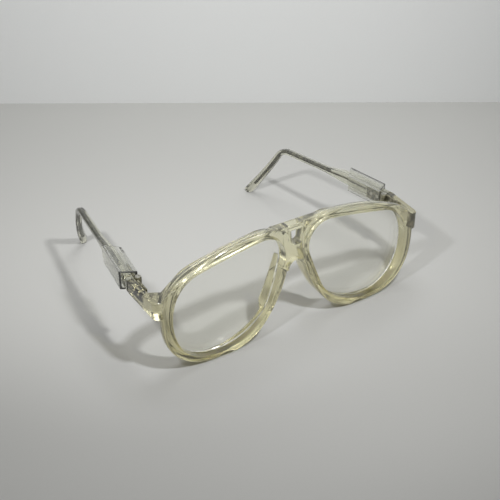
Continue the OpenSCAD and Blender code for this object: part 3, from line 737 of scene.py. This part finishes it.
def clear_plastic(name, pale, deep, shadow, rough, clear, ior=1.49, low=FOOT, high=BROW, haze=0.05,
                  gloss=0.5, darker_ends=None):
    """Clear plastic, yellower low down by a height ramp, with fine scuffs and moulding waves."""
    f = Finish(name)
    lower_down = f.between(f.axis("Z"), low, high, to_low=1.0, to_high=0.0)
    patches = f.between(f.noise(scale=60, detail=3), 0.3, 0.7)
    colour = f.blend(lower_down * 0.7 + patches * 0.3, pale, deep)
    if darker_ends:
        # The thick ends turn darker, towards the given darker colour, in random patches
        from_middle = f.sum("ABSOLUTE", f.axis("X"), 0.0)
        ends = f.between(from_middle, ENDS_DARKER_FROM, ENDS_DARKER_TO, to_high=0.5)
        colour = f.blend(ends + f.noise(scale=300, detail=3) * 0.2, colour, darker_ends)
    scuffs = f.between(f.noise(scale=900, detail=3, roughness=0.6, stretch=(1.0, 0.25, 1.0)),
                       0.5, 0.75)
    handled = f.between(f.noise(scale=220), 0.45, 0.7)
    waves = f.noise(scale=110) * 0.35 + f.noise(scale=1500) * 0.01
    plastic = f.node("ShaderNodeBsdfPrincipled", None, {
        "Base Color": colour, "Roughness": scuffs * handled * haze + rough,
        "Transmission Weight": clear, "IOR": ior,
        "Normal": f.bump(waves, strength=0.1, distance=0.0003),
        "Coat Weight": gloss, "Coat Roughness": 0.06})
    # Lamps shine straight through it, with its own shade of shadow
    lamps = f.node("ShaderNodeBsdfTransparent", None, {"Color": (*shadow, 1)})
    return f.done(f.node("ShaderNodeMixShader", None,
                         {0: f.ray("Is Shadow Ray"), 1: plastic, 2: lamps}))


def worn_metal(name, bright, dull, rough, spots):
    """Metal with a dull skin that is rubbed bright in places, and a brushed grain."""
    f = Finish(name)
    rubbed = f.between(f.noise(scale=spots, detail=4, roughness=0.6), 0.42, 0.62)
    grain = f.noise(scale=2600, stretch=(0.15, 1.0, 1.0))
    return f.done(f.node("ShaderNodeBsdfPrincipled", None, {
        "Base Color": f.blend(rubbed, dull, bright),
        "Roughness": rubbed * -0.12 + grain * 0.1 + rough, "Metallic": 1.0,
        "Normal": f.bump(grain, strength=0.3, distance=0.00005)}))


front_plastic = clear_plastic(
    "yellowed_clear_plastic", pale=(0.975, 0.965, 0.77), deep=(0.995, 0.91, 0.48),
    shadow=(0.4, 0.38, 0.28), rough=0.13, clear=0.97, gloss=0.8, darker_ends=(0.42, 0.39, 0.24))
temple_plastic = clear_plastic(
    "temple_clear_plastic", pale=(0.84, 0.84, 0.73), deep=(0.84, 0.83, 0.69),
    shadow=(0.25, 0.25, 0.22), rough=0.05, clear=0.95)
sleeve_plastic = clear_plastic(
    "sleeve_clear_plastic", pale=(0.88, 0.885, 0.84), deep=(0.86, 0.86, 0.81),
    shadow=(0.82, 0.82, 0.8), rough=0.06, clear=0.96, ior=1.48, low=0.033, high=0.045, haze=0.1)
lens_clear = clear_plastic(
    "lens_clear_plastic", pale=(0.955, 0.955, 0.92), deep=(0.955, 0.955, 0.92),
    shadow=(0.955, 0.955, 0.93), rough=0.0, clear=1.0, ior=1.5, haze=0.0, gloss=0.0)
hinge_metal = worn_metal("hinge_metal", bright=(0.42, 0.4, 0.3), dull=(0.13, 0.125, 0.09),
                         rough=0.42, spots=700)
rivet_metal = worn_metal("rivet_metal", bright=(0.72, 0.7, 0.62), dull=(0.42, 0.4, 0.33),
                         rough=0.35, spots=900)
screw_metal = worn_metal("screw_metal", bright=(0.66, 0.65, 0.6), dull=(0.35, 0.34, 0.3),
                         rough=0.35, spots=900)
core_metal = worn_metal("core_metal", bright=(0.18, 0.175, 0.13), dull=(0.06, 0.06, 0.045),
                        rough=0.5, spots=300)


# ---------- pieces ----------

def both_sides(make, node, body, finish, smooth=40):
    """Makes the left piece and its mirror image for the right."""
    left = make()
    right = mirrored(left)
    for side, obj in (("left", left), ("right", right)):
        finished(obj, f"{side}_{node}", body.format(side), finish, smooth)


finished(front(), "front_frame", "front", front_plastic, smooth=72)
both_sides(lens, "lens", "front", lens_clear, smooth=50)
both_sides(temple, "temple", "{}_temple", temple_plastic)
both_sides(core_wire, "core_wire", "{}_temple", core_metal)
both_sides(sleeve, "sleeve", "{}_sleeve", sleeve_plastic)
for node, body, finish, slot, edge in (
        ("front_leaf", "front", hinge_metal, "hinge_metal", 0.08),
        ("front_rivets", "front", rivet_metal, "rivet_metal", 0.06),
        ("temple_leaf", "{}_temple", hinge_metal, "hinge_metal", 0.08),
        ("temple_rivets", "{}_temple", rivet_metal, "rivet_metal", 0.06),
        ("hinge_screw", "{}_temple", screw_metal, "screw_metal", 0.08),
        ("hinge_nut", "{}_temple", screw_metal, "screw_metal", 0.08)):
    both_sides(lambda: refined("left_" + node, edge), node, body, finish,
               smooth=30)


# ---------- camera, table, wall and light ----------

# The camera's place, turn, tilt and roll, solved from points that mirror each other on the front
EYE = Vector((-196.976, FRONT_Y - 267.677, 251.789)) * MM
YAW, PITCH, ROLL = math.radians(32.5213), math.radians(32.1714), math.radians(-0.1798)
FOCAL_LENGTH, SENSOR_WIDTH, NEAREST_SEEN = 62.838, 36, 0.01

ahead = Vector((math.sin(YAW) * math.cos(PITCH), math.cos(YAW) * math.cos(PITCH),
                -math.sin(PITCH)))
level = Vector((math.cos(YAW), -math.sin(YAW), 0))
upright = level.cross(ahead)
right = level * math.cos(ROLL) + upright * math.sin(ROLL)
upright = upright * math.cos(ROLL) - level * math.sin(ROLL)
lens_data = bpy.data.cameras.new("camera")
lens_data.lens, lens_data.sensor_width = FOCAL_LENGTH, SENSOR_WIDTH
lens_data.clip_start = NEAREST_SEEN
camera = bpy.data.objects.new("camera", lens_data)
bpy.context.scene.collection.objects.link(camera)
camera.matrix_world = Matrix((right, upright, -ahead)).transposed().to_4x4()
camera.matrix_world.translation = EYE
bpy.context.scene.camera = camera


def stage_plane(name, size, matrix, colour, one_sided=False):
    """A painted board of the light box, in metres. A one-sided board can't be seen from behind."""
    bpy.ops.object.select_all(action="DESELECT")
    bpy.ops.mesh.primitive_plane_add(size=1)
    obj = bpy.context.object
    obj.name = name
    moved(obj, Matrix.Diagonal((*size, 1, 1)), matrix)
    f = Finish(name + "_paint")
    grain = f.between(f.noise(scale=900, detail=3, roughness=0.6), 0.3, 0.7)
    tone = f.blend(grain, tuple(c * 0.985 for c in colour), colour)
    paint = f.node("ShaderNodeBsdfPrincipled", None, {"Base Color": tone, "Roughness": 0.6,
                                                      "Specular IOR Level": 0.25})
    if one_sided:
        clear = f.node("ShaderNodeBsdfTransparent")
        behind = f.node("ShaderNodeNewGeometry", output="Backfacing")
        paint = f.node("ShaderNodeMixShader", None, {0: behind, 1: paint, 2: clear})
    obj.data.materials.append(f.done(paint))


TABLE_SIZE, TABLE_COLOUR = (0.64, 0.64), (0.6, 0.6, 0.578)
WALL_SIZE, WALL_COLOUR, WALL_AHEAD = (0.9, 0.24), (0.78, 0.79, 0.785), 0.605

stage_plane("table", TABLE_SIZE, Matrix.Translation((0.05, 0.04, 0)), TABLE_COLOUR)
flat_ahead = Vector((math.sin(YAW), math.cos(YAW), 0))
foot = Vector((EYE.x, EYE.y, 0)) + flat_ahead * WALL_AHEAD
stood_up = Matrix((level, Vector((0, 0, 1)), -flat_ahead)).transposed().to_4x4()
stage_plane("wall", WALL_SIZE,
            Matrix.Translation(foot + Vector((0, 0, WALL_SIZE[1] / 2))) @ stood_up,
            WALL_COLOUR, one_sided=True)


def lamp(name, kind, at, towards, power, **settings):
    data = bpy.data.lights.new(name, kind)
    data.energy = power
    for key, value in settings.items():
        setattr(data, key, value)
    obj = bpy.data.objects.new(name, data)
    bpy.context.scene.collection.objects.link(obj)
    obj.location = at
    obj.rotation_euler = (Vector(towards) - Vector(at)).to_track_quat("-Z", "Y").to_euler()


# Two soft-edged spots hang in front of the glasses, one ahead and one to the camera's left,
# and a panel hangs above them
lamp("front_spot", "SPOT", at=(-0.005, -0.21, 0.285), towards=(0.039, 0.271, 0), power=2.3,
     spot_size=math.radians(150), spot_blend=1, shadow_soft_size=0.012)
lamp("left_spot", "SPOT", at=(-0.212, -0.146, 0.285), towards=(0.2, 0.33, 0), power=2.85,
     spot_size=math.radians(90), spot_blend=1, shadow_soft_size=0.011)
lamp("panel", "AREA", at=(0.1, 0.06, 0.45), towards=(0.1, 0.06, 0), power=0.45,
     shape="SQUARE", size=0.2)

# The walls of the light box: dim as a source of light, pale where the clear plastic shows them
DIM_WALLS, PALE_WALLS = (0.14, 0.14, 0.138), (0.74, 0.75, 0.73)
world = bpy.data.worlds.new("room")
bpy.context.scene.world = world
world.use_nodes = True
room = Recipe(world.node_tree)
seen = 0
for kind in ("Is Camera Ray", "Is Glossy Ray", "Is Transmission Ray"):
    seen = room.sum("MAXIMUM", room.ray(kind), seen)
walls = room.blend(seen, DIM_WALLS, PALE_WALLS)
room.shown("ShaderNodeOutputWorld", room.node("ShaderNodeBackground", None, {"Color": walls}))

# Light passes many walls of clear plastic before it comes out
MOST_BOUNCES = 24
scene = bpy.context.scene
scene.view_settings.view_transform = "Standard"
scene.cycles.caustics_reflective = scene.cycles.caustics_refractive = False
scene.cycles.transparent_max_bounces = MOST_BOUNCES
scene.cycles.transmission_bounces = MOST_BOUNCES
scene.cycles.max_bounces = MOST_BOUNCES
